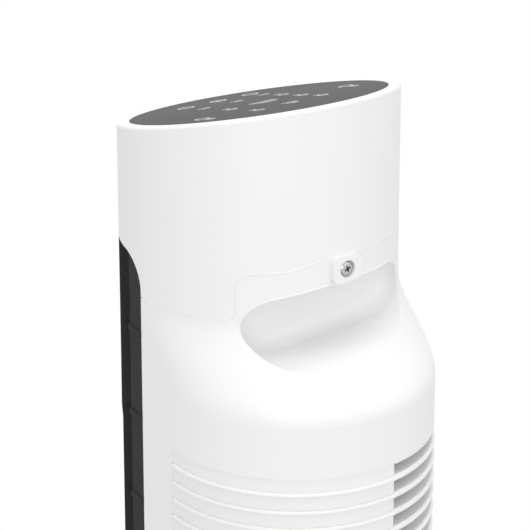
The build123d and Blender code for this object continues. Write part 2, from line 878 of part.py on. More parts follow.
impeller_length = impeller_top_z - impeller_z
lean = radians(blade_lean)
middle_reach = (impeller_inner_radius + impeller_radius) / 2
outer_reach = impeller_radius - blade_thickness
with BuildSketch() as blade:
    with BuildLine():
        ThreePointArc(
            (impeller_inner_radius, 0),
            (middle_reach * cos(lean / 4), middle_reach * sin(lean / 4)),
            (outer_reach * cos(lean), outer_reach * sin(lean)),
        )
    trace(line_width=blade_thickness)

with BuildPart() as impeller:
    with BuildSketch(Plane.XY.offset(impeller_z)):
        with Locations((0, fan_y)):
            with PolarLocations(0, blade_count):
                add(blade.sketch)
    extrude(amount=impeller_length)
    disc_step = (impeller_length - disc_thickness) / (disc_count - 1)
    for step in range(disc_count):
        inner_disc = 0 < step < disc_count - 1
        with BuildSketch(Plane.XY.offset(impeller_z + disc_step * step)):
            with Locations((0, fan_y)):
                Circle(impeller_radius)
                if inner_disc:
                    Circle(impeller_inner_radius - blade_thickness, mode=Mode.SUBTRACT)
    extrude(amount=disc_thickness)
    for low in (impeller_z, impeller_top_z - coupling_height):
        with BuildSketch(Plane.XY.offset(low)):
            with Locations((0, fan_y)):
                Circle(coupling_radius + wall)
    extrude(amount=coupling_height)
    with Locations((0, fan_y, coupling_z + coupling_height / 2)):
        Cylinder(coupling_radius + hub_bore_gap, coupling_height, mode=Mode.SUBTRACT)
    with Locations((0, fan_y, impeller_top_z)):
        Cylinder(shaft_radius + hub_bore_gap, 2 * coupling_height, mode=Mode.SUBTRACT)

with BuildPart() as top_bearing:
    with BuildSketch(Plane.XY.offset(upper_z)):
        with Locations((0, fan_y)):
            Circle(bearing_radius)
            Circle(shaft_radius + running_gap, mode=Mode.SUBTRACT)
    extrude(amount=bearing_height)

with BuildPart() as bearing_holder:
    with BuildSketch(Plane.XY.offset(upper_z + plate_thickness)):
        with Locations((0, fan_y)):
            Circle(holder_radius)
    extrude(amount=holder_height)
    with Locations((0, fan_y, upper_z)):
        Cylinder(bearing_radius + running_gap, 2 * bearing_height, mode=Mode.SUBTRACT)

# Oscillation drive and power board in the lower housing

with BuildPart() as oscillation_motor:
    with BuildSketch(Plane.XY.offset(floor_z)):
        with Locations((0, gear_distance)):
            SlotCenterToCenter(2 * osc_ear_reach, osc_ear_width)
        with Locations(*ear_places):
            Circle(small_screw_radius + running_gap, mode=Mode.SUBTRACT)
    extrude(amount=osc_ear_thickness)
    with BuildSketch(Plane.XY.offset(floor_z)):
        with Locations((0, gear_distance)):
            Circle(osc_motor_radius)
    extrude(amount=osc_motor_height)
    with Locations((0, gear_distance, floor_z)):
        Cylinder(pinion_shaft_radius + running_gap, osc_motor_height, mode=Mode.SUBTRACT)

oscillation_screws = screw_group(
    osc_ear_thickness + housing_floor, downward(ear_places, floor_z + osc_ear_thickness)
)

with BuildPart() as oscillation_pinion:
    pinion_place = Location((0, gear_distance, 0))
    with BuildSketch(Plane.XY.offset(gear_height)):
        add(gear_outline(pinion_teeth).moved(pinion_place))
    extrude(amount=gear_width)
    with BuildSketch(Plane.XY.offset(gear_height)):
        with Locations((0, gear_distance)):
            Circle(pinion_shaft_radius)
    extrude(amount=floor_z + osc_motor_height / 2 - gear_height - seat_gap)

board_z = floor_z + standoff_height
connector_height = 3 * standoff_height / 2
with BuildPart() as power_board:
    with BuildSketch(Plane.XY.offset(board_z)):
        with Locations((board_x, board_y)):
            Rectangle(power_board_width, power_board_length)
        with Locations(*board_places):
            Circle(small_screw_radius + running_gap, mode=Mode.SUBTRACT)
    extrude(amount=board_thickness)
    with BuildSketch(Plane.XY.offset(board_z + board_thickness)):
        with Locations((board_x, board_y)):
            with Locations((power_board_width / 8, power_board_length / 4)):
                Rectangle(power_board_width / 4, power_board_length / 4)
            with Locations((-power_board_width / 6, power_board_length / 5)):
                Circle(power_board_width / 9)
        with Locations((harness_x, harness_y)):
            Rectangle(4 * harness_radius, 4 * harness_radius)
    extrude(amount=connector_height)

board_screws = screw_group(small_screw_length, downward(board_places, board_z + board_thickness))

harness_foot = board_z + board_thickness + connector_height
harness_top_x = board_width / 2 - 2 * harness_radius
harness_top_y = head_y
board_fall = (panel_thickness + ledge_thickness + board_drop + board_thickness) / cos(slant)
harness_top_z = top_z - board_fall - harness_radius * tan(slant) - seat_gap
with BuildPart() as wire_harness:
    with BuildLine() as harness_path:
        FilletPolyline(
            (harness_x, harness_y, harness_foot),
            (harness_x, harness_y, screw_z),
            (harness_top_x, harness_top_y, ring_z + mount_ring_rise),
            (harness_top_x, harness_top_y, harness_top_z),
            radius=4 * harness_radius,
        )
    with BuildSketch(Plane.XY.offset(harness_foot)):
        with Locations((harness_x, harness_y)):
            Circle(harness_radius)
    sweep()

# Rear cover with its recess, ribs, louvres and captive screw


def vent_rows_at(bar, edge_low, edge_high):
    """One flat bar per row of the rear panel, from one X plane to another, at the louvres' pitch."""
    with BuildPart() as bars:
        first = vent_z - (vent_pitch - vent_slat) / 2
        heights = [first - vent_pitch * row for row in range(vent_rows)]
        with Locations(*[(edge_low, head_y + vent_side_y, height) for height in heights]):
            Box(edge_high - edge_low, span, bar, align=(Align.MIN, Align.MIN, Align.CENTER))
    return bars.part


with BuildPart() as scoop_lining:
    add(scoop(wall))
    add(rear_form(wall / 2), mode=Mode.INTERSECT)

vent_height = vent_rows * vent_pitch
with BuildPart() as louvres:
    add(rear_form(vent_setback))
    add(rear_form(vent_depth), mode=Mode.SUBTRACT)
    with Locations((-vent_edge_x + vent_frame, head_y + vent_side_y - vent_frame, vent_z + vent_frame)):
        corner = (Align.MAX, Align.MIN, Align.MAX)
        Box(span, span, vent_height + vent_frame, align=corner, mode=Mode.INTERSECT)
    add(vent_rows_at(vent_pitch - vent_slat, -vent_edge_x - span, -vent_edge_x), mode=Mode.SUBTRACT)

with BuildPart() as rib_rows:
    add(vent_rows_at(vent_pitch - rib_crest, -vent_edge_x, span))
    with Locations((0, head_y + vent_side_y, vent_z + (vent_slat - rib_crest) / 2)):
        rib_panel = vent_height - rib_crest
        Box(span, rib_margin, rib_panel, align=(Align.MIN, Align.MIN, Align.MAX))

with BuildPart() as rib_hollows:
    add(rear_form(-rib_height))
    add(rear_form(rib_height), mode=Mode.SUBTRACT)
    add(rib_rows.part, mode=Mode.INTERSECT)

with BuildPart() as cover_waste:
    with Locations((0, 0, seam_z - span / 2)):
        Box(span, span, 2 * span, align=(Align.CENTER, Align.MIN, Align.MIN))
    add(cover_block(-half_gap), mode=Mode.SUBTRACT)

with BuildPart() as lap_space:
    add(round_form(seam_z - lap_reach - seat_gap, overall_height, lap_depth))
    with Locations((0, joint_y, seam_z)):
        Box(span, span, span, align=(Align.CENTER, Align.MIN, Align.CENTER), mode=Mode.INTERSECT)
    add(cover_block(-lap_reach - seat_gap), mode=Mode.SUBTRACT)

with BuildPart() as rear_cover:
    add(rear_form(0))
    add(rear_form(wall), mode=Mode.SUBTRACT)
    add(scoop_lining.part)
    with BuildSketch(Plane.XZ.offset(-screw_y)):
        with Locations((0, screw_z)):
            RectangleRounded(boss_width, boss_height, boss_corner)
    extrude(amount=boss_rise + wall)
    add(scoop(0), mode=Mode.SUBTRACT)
    with Locations((-vent_edge_x, head_y + vent_side_y, vent_z)):
        Box(span, span, vent_height - vent_slat, align=corner, mode=Mode.SUBTRACT)
    add(louvres.part)
    add(rib_hollows.part, mode=Mode.SUBTRACT)
    with Locations((0, 0, seam_z - half_gap)):
        Box(span, span, span, align=(Align.CENTER, Align.MAX, Align.MIN), mode=Mode.SUBTRACT)
    add(cover_waste.part, mode=Mode.SUBTRACT)
    add(lap_space.part, mode=Mode.SUBTRACT)
    with BuildSketch(Plane.XZ.offset(-screw_y)):
        with Locations((0, screw_z)):
            Circle(screw_recess_radius)
    extrude(amount=screw_recess_depth, mode=Mode.SUBTRACT)
    with BuildSketch(Plane.XZ.offset(-screw_y)):
        with Locations((0, screw_z)):
            Circle(screw_radius + running_gap)
    extrude(amount=3 * wall, mode=Mode.SUBTRACT)

seat_y = screw_y - screw_recess_depth
with BuildPart() as cover_screw:
    with Locations(Location((0, seat_y, screw_z), (90, 0, 0))):
        add(pan_screw(screw_head_radius, screw_head_height, screw_radius, screw_length))

with BuildPart() as screw_clip:
    with BuildSketch(Plane.XZ.offset(-(block_y + clip_thickness + seat_gap))):
        with Locations((0, screw_z)):
            Circle(clip_radius)
            Circle(screw_radius + running_gap, mode=Mode.SUBTRACT)
    extrude(amount=clip_thickness)

# Filter, carried in the rear cover behind the louvres

filter_base_z = vent_base_z + vent_slat
turn = radians(filter_turn)
filter_reach = radius_at(filter_base_z + filter_height) - vent_depth - seat_gap
filter_face = sqrt(filter_reach**2 - (filter_width / 2) ** 2)
filter_plane = Plane(
    origin=(0, rear_y, filter_base_z), x_dir=(cos(turn), sin(turn), 0), z_dir=(0, 0, 1)
)
frame_face = filter_face - mesh_thickness
frame_middle = frame_face - filter_depth / 2


def upright_window(outer_width, outer_height, bar):
    """Upright rectangle with its middle cut out, drawn on the filter's outer face."""
    with BuildSketch(mode=Mode.PRIVATE) as window:
        Rectangle(outer_width, outer_height)
        Rectangle(outer_width - 2 * bar, outer_height - 2 * bar, mode=Mode.SUBTRACT)
    return window.sketch


def filter_layer(reach):
    """Upright plane facing out of the louvres, a given distance from the rear centre, at mid height."""
    outward = Vector(-sin(turn), cos(turn), 0)
    middle = Vector(0, rear_y, filter_base_z + filter_height / 2) + outward * reach
    return Plane(origin=middle, x_dir=(-cos(turn), -sin(turn), 0), z_dir=outward)


with BuildPart() as filter_frame:
    with BuildSketch(filter_layer(frame_face - filter_depth)):
        add(upright_window(filter_width, filter_height, filter_rim))
    extrude(amount=filter_depth)
    for reach in (frame_face - filter_depth, frame_face - filter_lip):
        with BuildSketch(filter_layer(reach)):
            add(upright_window(filter_width, filter_height, 2 * filter_rim))
        extrude(amount=filter_lip)

pleat_reach = filter_depth / 2 - filter_lip - 3 * pleat_sheet
pleat_width = filter_width - 2 * filter_rim - 2 * pleat_sheet
with BuildPart() as filter_media:
    with BuildSketch(filter_plane.offset(filter_rim)):
        with BuildLine():
            Polyline(
                *[
                    (pleat_width * (step / pleat_count - 0.5), frame_middle + pleat_reach * (-1) ** step)
                    for step in range(pleat_count + 1)
                ]
            )
        trace(line_width=pleat_sheet)
    extrude(amount=filter_height - 2 * filter_rim)

mesh_step_x = (filter_width - mesh_bar) / mesh_columns
mesh_step_z = (filter_height - mesh_bar) / mesh_rows
with BuildPart() as prefilter_mesh:
    with BuildSketch(filter_layer(frame_face)):
        Rectangle(filter_width, filter_height)
        with GridLocations(mesh_step_x, mesh_step_z, mesh_columns, mesh_rows):
            Rectangle(mesh_step_x - mesh_bar, mesh_step_z - mesh_bar, mode=Mode.SUBTRACT)
    extrude(amount=mesh_thickness)

with BuildPart() as filter_seal:
    with BuildSketch(filter_layer(frame_face - filter_depth - seal_thickness)):
        add(upright_window(filter_width, filter_height, seal_width))
    extrude(amount=seal_thickness)

# Every piece is written under its own name

pieces = {
    "base_cover": base_cover,
    "base_plate": base_plate,
    "ballast_ring": ballast_ring,
    "base_feet": base_feet,
    "base_screws": base_screws,
    "fixed_gear": fixed_gear,
    "glide_ring": glide_ring,
    "cord_gland": cord_gland,
    "turntable": turntable,
    "turntable_retainer": turntable_retainer,
    "retainer_screws": retainer_screws,
    "lower_housing": lower_housing,
    "housing_screws": housing_screws,
    "lower_bulkhead": lower_bulkhead,
    "bulkhead_screws": bulkhead_screws,
    "upper_bulkhead": upper_bulkhead,
    "scroll_wall": scroll_wall,
    "airflow_tongue": airflow_tongue,
    "front_grille": front_grille,
    "head_mount": head_mount,
    "head_shell": head_shell,
    "control_panel": control_panel,
    "control_board": control_board,
    "control_board_screws": control_board_screws,
    "display_module": display_module,
    "touch_springs": touch_springs,
    "fan_motor": fan_motor,
    "motor_screws": motor_screws,
    "motor_shaft": motor_shaft,
    "drive_coupling": drive_coupling,
    "impeller": impeller,
    "stub_shaft": stub_shaft,
    "top_bearing": top_bearing,
    "bearing_holder": bearing_holder,
    "oscillation_motor": oscillation_motor,
    "oscillation_screws": oscillation_screws,
    "oscillation_pinion": oscillation_pinion,
    "power_board": power_board,
    "board_screws": board_screws,
    "wire_harness": wire_harness,
    "rear_cover": rear_cover,
    "cover_screw": cover_screw,
    "screw_clip": screw_clip,
    "filter_frame": filter_frame,
    "filter_media": filter_media,
    "prefilter_mesh": prefilter_mesh,
    "filter_seal": filter_seal,
}
os.makedirs("parts", exist_ok=True)
for name, piece in pieces.items():
    piece.part.label = name
    export_step(piece.part, f"parts/{name}.step")
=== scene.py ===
from math import acos, asin, cos, pi, radians, sin, sqrt, tan

import bpy
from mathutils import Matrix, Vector


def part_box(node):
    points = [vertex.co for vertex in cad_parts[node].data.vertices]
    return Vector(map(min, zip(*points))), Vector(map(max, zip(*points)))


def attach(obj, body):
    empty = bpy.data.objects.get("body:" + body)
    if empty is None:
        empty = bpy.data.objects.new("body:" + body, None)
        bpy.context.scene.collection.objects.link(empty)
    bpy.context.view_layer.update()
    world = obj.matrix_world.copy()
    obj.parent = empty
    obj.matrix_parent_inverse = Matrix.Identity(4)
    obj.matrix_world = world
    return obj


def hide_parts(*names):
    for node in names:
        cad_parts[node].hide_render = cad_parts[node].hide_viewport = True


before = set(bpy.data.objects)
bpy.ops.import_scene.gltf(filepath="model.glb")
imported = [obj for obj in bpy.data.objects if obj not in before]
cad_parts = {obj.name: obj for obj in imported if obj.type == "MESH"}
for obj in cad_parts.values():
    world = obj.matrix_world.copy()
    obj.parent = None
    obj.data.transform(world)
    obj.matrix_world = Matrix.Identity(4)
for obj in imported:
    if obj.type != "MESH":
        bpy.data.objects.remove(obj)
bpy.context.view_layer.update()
bpy.ops.object.select_all(action="DESELECT")

# Base cover, lower housing, head shell and rear cover: injection-moulded ABS in off-white,
# with the fine satin grain of a lightly blasted mould. Screws and clips inside hold them together.


class Socket:
    """An output of a material's nodes; arithmetic on it adds Math nodes."""

    def __init__(self, tree, output):
        self.tree = tree
        self.output = output

    def node(self, kind, settings=(), sockets=(), output=0):
        """One more node: its type, its settings, then the values or links of its sockets."""
        made = self.tree.nodes.new("ShaderNode" + kind)
        for name, value in dict(settings).items():
            setattr(made, name, value)
        for name, value in dict(sockets).items():
            if isinstance(value, Socket):
                self.tree.links.new(value.output, made.inputs[name])
            else:
                made.inputs[name].default_value = value
        return Socket(self.tree, made.outputs[output])

    def math(self, operation, first, second):
        """One Math node on two values."""
        return self.node("Math", {"operation": operation}, {0: first, 1: second})

    def __add__(self, other):
        return self.math("ADD", self, other)

    def __radd__(self, other):
        return self.math("ADD", other, self)

    def __sub__(self, other):
        return self.math("SUBTRACT", self, other)

    def __rsub__(self, other):
        return self.math("SUBTRACT", other, self)

    def __mul__(self, other):
        return self.math("MULTIPLY", self, other)

    def __rmul__(self, other):
        return self.math("MULTIPLY", other, self)

    def mix(self, first, second):
        """This value as the share of the second colour over the first."""
        return self.node("Mix", {"data_type": "RGBA"}, {0: self, 6: first, 7: second}, 2)

    def step(self, low, high):
        """0 below the low value, 1 above the high one, with a soft change between them."""
        limits = {"Value": self, "From Min": low, "From Max": high}
        return self.node("MapRange", {"interpolation_type": "SMOOTHSTEP"}, limits)

    def axis(self, index):
        """One coordinate of a place."""
        return self.node("SeparateXYZ", sockets={"Vector": self}, output=index)


def new_finish(name, **constants):
    """An empty material: its shader and its Object coordinates; constants go on the shader's sockets."""
    material = bpy.data.materials.new(name)
    material.use_nodes = True
    tree = material.node_tree
    shader = tree.nodes["Principled BSDF"]
    for key, value in constants.items():
        shader.inputs[key.replace("_", " ")].default_value = value
    place = Socket(tree, tree.nodes.new("ShaderNodeTexCoord").outputs["Object"])
    return material, shader, place


def feed(shader, **sockets):
    """Links values to the shader's sockets."""
    for key, value in sockets.items():
        value.tree.links.new(value.output, shader.inputs[key.replace("_", " ")])


def shades(colour, mottle):
    """A darker and a lighter shade of a colour."""
    darker = tuple(channel * (1.0 - mottle) for channel in colour) + (1.0,)
    lighter = tuple(min(channel * (1.0 + mottle), 1.0) for channel in colour) + (1.0,)
    return darker, lighter


def moulded(name, colour, roughness, grain, depth, mottle=0.03, **constants):
    """A moulded surface: clouds of colour, uneven sheen and a mould grain, whose size is in metres."""
    material, shader, place = new_finish(name, **constants)
    cloud = place.node("TexNoise", sockets={"Vector": place, "Scale": 22.0, "Detail": 3.0})
    pores = place.node("TexNoise", sockets={"Vector": place, "Scale": 1.0 / grain, "Detail": 2.0})
    bump = place.node("Bump", sockets={"Height": pores, "Strength": depth, "Distance": grain / 4})
    feed(
        shader,
        Base_Color=cloud.mix(*shades(colour, mottle)),
        Roughness=roughness - 0.05 + 0.06 * cloud + 0.05 * pores,
        Normal=bump,
    )
    return material


def dress(finish, *names):
    """Puts a finish on the named solids."""
    for name in names:
        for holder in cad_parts[name].material_slots:
            holder.material = finish


white_shell = moulded(
    "white_shell", (0.84, 0.84, 0.835), roughness=0.40, grain=0.0005, depth=0.06, mottle=0.008
)
dress(white_shell, "base_cover", "lower_housing", "head_shell", "rear_cover")

# Chassis: base plate, turntable and its retainer, bulkheads, scroll wall, tongue and head mount.
# They are moulded in grey polypropylene and screwed together inside the shells.
# The plastic is bare, and faint flow marks run up its walls.


def grained(place, along, across, **more):
    """Noise drawn out along Z, along and across being its sizes in metres."""
    drawn = place.node("Mapping", sockets={"Vector": place, "Scale": (1 / across, 1 / across, 1 / along)})
    return place.node("TexNoise", sockets={"Vector": drawn, "Scale": 1.0, "Detail": 3.0, **more})


inner_plastic, shader, place = new_finish("inner_plastic")
flow = grained(place, along=0.090, across=0.012, Distortion=0.6)
pores = place.node("TexNoise", sockets={"Vector": place, "Scale": 1100.0, "Detail": 2.0})
feed(
    shader,
    Base_Color=flow.mix(*shades((0.50, 0.50, 0.49), mottle=0.05)),
    Roughness=0.48 + 0.08 * flow + 0.06 * pores,
    Normal=place.node("Bump", sockets={"Height": pores, "Strength": 0.12, "Distance": 0.0002}),
)
dress(
    inner_plastic,
    "base_plate",
    "turntable",
    "turntable_retainer",
    "lower_bulkhead",
    "upper_bulkhead",
    "scroll_wall",
    "airflow_tongue",
    "head_mount",
)

# Swing gears, glide ring and screw clip: natural acetal, moulded to size and left uncoloured.
# The teeth and sliding faces are slick, with only the faint texture of a spark-eroded mould.
gear_plastic = moulded("gear_plastic", (0.80, 0.78, 0.70), roughness=0.36, grain=0.0007, depth=0.05)
dress(gear_plastic, "fixed_gear", "glide_ring", "oscillation_pinion", "screw_clip")

# Fan wheel: a long drum of curved blades between rings, moulded in bays that are welded together.
# The plastic is blue-grey and filled with glass, which shows as fine pale flecks and makes the surface dull.
fan_plastic, shader, place = new_finish("fan_plastic")
flecks = grained(place, along=0.0016, across=0.0004)
cloud = place.node("TexNoise", sockets={"Vector": place, "Scale": 30.0, "Detail": 3.0})
blade_tone = cloud.mix(*shades((0.20, 0.28, 0.32), mottle=0.05))
glass_tone = (0.36, 0.44, 0.47, 1.0)
feed(
    shader,
    Base_Color=(flecks.step(0.62, 0.78) * 0.5).mix(blade_tone, glass_tone),
    Roughness=0.44 + 0.16 * flecks,
    Normal=place.node("Bump", sockets={"Height": flecks, "Strength": 0.10, "Distance": 0.0001}),
)
dress(fan_plastic, "impeller")

# Feet, cord gland, bearing holder and fan coupling: black rubber, moulded and pressed into place.
# It is dull and pored, a little greyer where it has bloomed.
dark_rubber = moulded(
    "dark_rubber", (0.028, 0.028, 0.029), roughness=0.75, grain=0.0006, depth=0.25, mottle=0.15
)
dress(dark_rubber, "base_feet", "cord_gland", "bearing_holder", "drive_coupling")

# Wire harness: the leads from the power board to the touch board in one woven sleeve of dark polyester yarn.
# The yarns cross on the slant about every millimetre and a half.
yarn_spacing = 0.001496
wire_sleeve, shader, place = new_finish("wire_sleeve")
yarns = []
for lean in (1.0, -1.0):
    slanted = (place.axis(2) + (place.axis(0) + place.axis(1)) * lean) * (2 * pi / yarn_spacing)
    yarns.append(slanted.math("SINE", slanted, 0.0))
weave = yarns[0] * yarns[1]
feed(
    shader,
    Base_Color=weave.step(-0.6, 0.6).mix((0.016, 0.016, 0.018, 1.0), (0.060, 0.060, 0.064, 1.0)),
    Roughness=0.60 + 0.10 * weave,
    Normal=place.node("Bump", sockets={"Height": weave, "Strength": 0.35, "Distance": 0.0002}),
)
dress(wire_sleeve, "wire_harness")

# Front grille: one charcoal ABS moulding with slats, cross bars and side flanges, clipped between the shells.
# The flanges beside the white shells are left smoother; the front is more coarsely grained, and its colour is
# darkened as painted shade.
flange_width = 0.014
flange_blend = 0.0005
grille_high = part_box("front_grille")[1]
flange_front = grille_high.y - flange_width
grille_plastic, shader, place = new_finish("grille_plastic", Specular_IOR_Level=0.004)
cloud = place.node("TexNoise", sockets={"Vector": place, "Scale": 26.0, "Detail": 3.0})
pores = place.node("TexNoise", sockets={"Vector": place, "Scale": 1600.0, "Detail": 2.0})
front = 1.0 - place.axis(1).step(flange_front - flange_blend, flange_front + flange_blend)
smooth_tone = cloud.mix(*shades((0.050, 0.0506, 0.0526), mottle=0.05))
# The front's darker colour is painted shade; the plastic is the same charcoal as the flanges.
front_painted_shade_tone = cloud.mix(*shades((0.0250, 0.0253, 0.0265), mottle=0.05))
bump = place.node("Bump", sockets={"Height": pores, "Strength": 0.08 + 0.20 * front, "Distance": 0.00015})
feed(
    shader,
    Base_Color=front.mix(smooth_tone, front_painted_shade_tone),
    Roughness=0.56 + 0.14 * front + 0.06 * pores,
    Normal=bump,
)
dress(grille_plastic, "front_grille")

# Touch panel: a smoked satin plate in the head's rim, flush with the slanted top and glued to its ledge.
# The plate is cut from cast sheet, and its upper edge is eased by a small round.
panel_low, panel_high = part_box("control_panel")
panel_radius = (panel_high.x - panel_low.x) / 2
panel_y = (panel_low.y + panel_high.y) / 2
panel_slant = radians(14.0)
panel_thickness = 0.0025
panel_edge = 0.0004
blank_height = 0.08
panel_up = Vector((0.0, -sin(panel_slant), cos(panel_slant)))
panel_centre = Vector((0.0, panel_y, panel_high.z - panel_radius * tan(panel_slant)))


def edit(piece):
    """Edit mode on one piece, with all of it selected."""
    bpy.context.view_layer.objects.active = piece
    bpy.ops.object.mode_set(mode="EDIT")
    bpy.ops.mesh.select_all(action="SELECT")


def pick_faces(piece, test):
    """Edit mode with only the faces selected whose middle and normal pass the test."""
    edit(piece)
    bpy.ops.mesh.select_mode(type="FACE")
    bpy.ops.mesh.select_all(action="DESELECT")
    bpy.ops.object.mode_set(mode="OBJECT")
    for face in piece.data.polygons:
        face.select = test(face.center, face.normal)
    bpy.ops.object.mode_set(mode="EDIT")


def settle(piece):
    """Object mode, with the piece's place, turn and size put into its mesh."""
    bpy.ops.object.mode_set(mode="OBJECT")
    bpy.ops.object.select_all(action="DESELECT")
    piece.select_set(True)
    bpy.context.view_layer.objects.active = piece
    bpy.ops.object.transform_apply(location=True, rotation=True, scale=True)


def complete(piece, name, finish, body, slot, *nodes):
    """Names and finishes a modelled piece, and ties it to its body and the nodes it replaces; the slot is not
    used.
    """
    settle(piece)
    bpy.ops.object.shade_smooth_by_angle(angle=radians(35.0))
    piece.name = name
    piece.data.materials.clear()
    piece.data.materials.append(finish)
    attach(piece, body)
    if nodes:
        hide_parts(*nodes)
    bpy.ops.object.select_all(action="DESELECT")


bpy.ops.mesh.primitive_cylinder_add(
    vertices=160, radius=panel_radius, depth=blank_height, location=panel_centre
)
touch_panel = bpy.context.object
settle(touch_panel)
edit(touch_panel)
bpy.ops.mesh.bisect(plane_co=panel_centre, plane_no=panel_up, use_fill=True, clear_outer=True)
bpy.ops.mesh.select_all(action="SELECT")
panel_base = panel_centre - panel_thickness * panel_up
bpy.ops.mesh.bisect(plane_co=panel_base, plane_no=panel_up, use_fill=True, clear_inner=True)
pick_faces(touch_panel, lambda middle, normal: normal.dot(panel_up) > 0.99)
bpy.ops.mesh.bevel(offset=panel_edge, segments=3, affect="EDGES")
smoked_panel, shader, place = new_finish("smoked_panel", Specular_IOR_Level=0.008)
haze = place.node("TexNoise", sockets={"Vector": place, "Scale": 14.0, "Detail": 4.0})
specks = place.node("TexNoise", sockets={"Vector": place, "Scale": 900.0, "Detail": 1.0})
feed(
    shader,
    Base_Color=haze.mix(*shades((0.122, 0.122, 0.124), mottle=0.03)),
    Roughness=0.46 + 0.05 * haze + 0.03 * specks,
)
complete(touch_panel, "touch_panel", smoked_panel, "tower", "panel", "control_panel")
dress(smoked_panel, "display_module")

# Panel marks: key symbols and light strips screen-printed in pale ink on the plate, a few hundredths of a
# millimetre thick. They are plain rings and strokes with no lettering.
ink_thickness = 0.00006
stroke_width = 0.0016
stroke_rounding = 0.48
bar_pitch = 0.0030
key_ring = 0.0052
key_places = ((-0.0268, -0.0465), (-0.0040, -0.0465), (0.0190, -0.0459))
power_bar = (-0.0268, -0.0420)
timer_bars = (-0.0040, -0.0465)
swing_bar = (0.0190, -0.0465)
swing_length = 0.0045
caption_lengths = (0.0080, 0.0060)
caption_places = ((-0.0259, -0.0305), (-0.0031, -0.0253), (0.0205, -0.0241))
mode_ring = 0.0034
mode_bar = 0.0050
mode_drop = 0.0060
mode_places = ((-0.0252, -0.0108), (-0.0232, 0.0110), (0.0229, 0.0065), (-0.0226, 0.0308), (0.0250, 0.0357))
level_lengths = (0.0180, 0.0180, 0.0120)
level_place = (-0.0011, 0.0047)
level_pitch = 0.0032
speed_lengths = (0.0110, 0.0080, 0.0050)
speed_place = (0.0012, 0.0340)
side_ring = 0.0045
side_lengths = (0.0070, 0.0050)
side_rise = 0.0080
side_pitch = 0.0026
side_places = ((-0.0528, 0.0127), (0.0531, 0.0217))
marks = []


def print_stroke(x, v, length, turn=0.0):
    """One round-ended stroke, x across the plate and v up its slope."""
    bpy.ops.mesh.primitive_plane_add(size=1.0)
    stroke = bpy.context.object
    edit(stroke)
    bpy.ops.transform.resize(value=(length, stroke_width, 1.0))
    bpy.ops.mesh.bevel(offset=stroke_width * stroke_rounding, segments=4, affect="VERTICES")
    bpy.ops.object.mode_set(mode="OBJECT")
    stroke.location = (x, v, 0.0)
    stroke.rotation_euler = (0.0, 0.0, turn)
    settle(stroke)
    marks.append(stroke)


def print_ring(x, v, radius):
    """One ring, x across the plate and v up its slope."""
    bpy.ops.mesh.primitive_circle_add(vertices=40, radius=radius, fill_type="NGON", location=(x, v, 0.0))
    ring = bpy.context.object
    settle(ring)
    edit(ring)
    bpy.ops.mesh.inset(thickness=stroke_width)
    bpy.ops.mesh.delete(type="FACE")
    bpy.ops.object.mode_set(mode="OBJECT")
    marks.append(ring)


def print_bars(x, v, lengths, pitch=bar_pitch):
    """Strokes stacked up the slope, one for each length."""
    for step, length in enumerate(lengths):
        print_stroke(x, v + (step - (len(lengths) - 1) / 2) * pitch, length)


for x, v in key_places:
    print_ring(x, v, key_ring)
print_stroke(*power_bar, mode_bar, turn=pi / 2)
print_bars(*timer_bars, (swing_length, swing_length))
print_stroke(*swing_bar, swing_length)
for x, v in caption_places:
    print_bars(x, v, caption_lengths)
for x, v in mode_places:
    print_ring(x, v, mode_ring)
    print_stroke(x, v - mode_drop, mode_bar)
print_bars(*level_place, level_lengths, level_pitch)
print_bars(*speed_place, speed_lengths)
for x, v in side_places:
    print_ring(x, v, side_ring)
    print_bars(x, v + side_rise, side_lengths, side_pitch)
bpy.ops.object.select_all(action="DESELECT")
for mark in marks:
    mark.select_set(True)
bpy.context.view_layer.objects.active = marks[0]
bpy.ops.object.join()
panel_marks = bpy.context.object
edit(panel_marks)
bpy.ops.mesh.normals_make_consistent(inside=False)
bpy.ops.mesh.extrude_region_move(TRANSFORM_OT_translate={"value": (0.0, 0.0, ink_thickness)})
bpy.ops.mesh.select_all(action="SELECT")
bpy.ops.mesh.normals_make_consistent(inside=False)
bpy.ops.object.mode_set(mode="OBJECT")
panel_marks.rotation_euler = (panel_slant, 0.0, 0.0)
panel_marks.location = panel_centre
pale_ink = moulded("pale_ink", (0.52, 0.53, 0.54), roughness=0.55, grain=0.0004, depth=0.10, mottle=0.05)
complete(panel_marks, "panel_marks", pale_ink, "tower", "white_shell")

# Power board and touch board: glass-fibre circuit boards under green solder mask, screwed to the chassis.
# Copper tracks show paler through the mask, and the solder pads are bare tin.
board_mask, shader, place = new_finish("board_mask")
cells = place.node("TexVoronoi", {"feature": "DISTANCE_TO_EDGE"}, {"Vector": place, "Scale": 230.0})
tracks = 1.0 - cells.step(0.05, 0.08)
spots = place.node("TexVoronoi", {"feature": "F1"}, {"Vector": place, "Scale": 300.0, "Randomness": 0.7})
pads = 1.0 - spots.step(0.17, 0.20)
cloud = place.node("TexNoise", sockets={"Vector": place, "Scale": 120.0, "Detail": 2.0})
mask_tone = cloud.mix(*shades((0.012, 0.085, 0.036), mottle=0.10))
track_tone = (0.030, 0.165, 0.070, 1.0)
tin_tone = (0.62, 0.62, 0.60, 1.0)
feed(
    shader,
    Base_Color=pads.mix(tracks.mix(mask_tone, track_tone), tin_tone),
    Metallic=pads,
    Roughness=0.30 + 0.08 * cloud + 0.06 * pads,
    Normal=place.node("Bump", sockets={"Height": tracks + pads, "Strength": 0.25, "Distance": 0.00005}),
)
dress(board_mask, "control_board", "power_board")

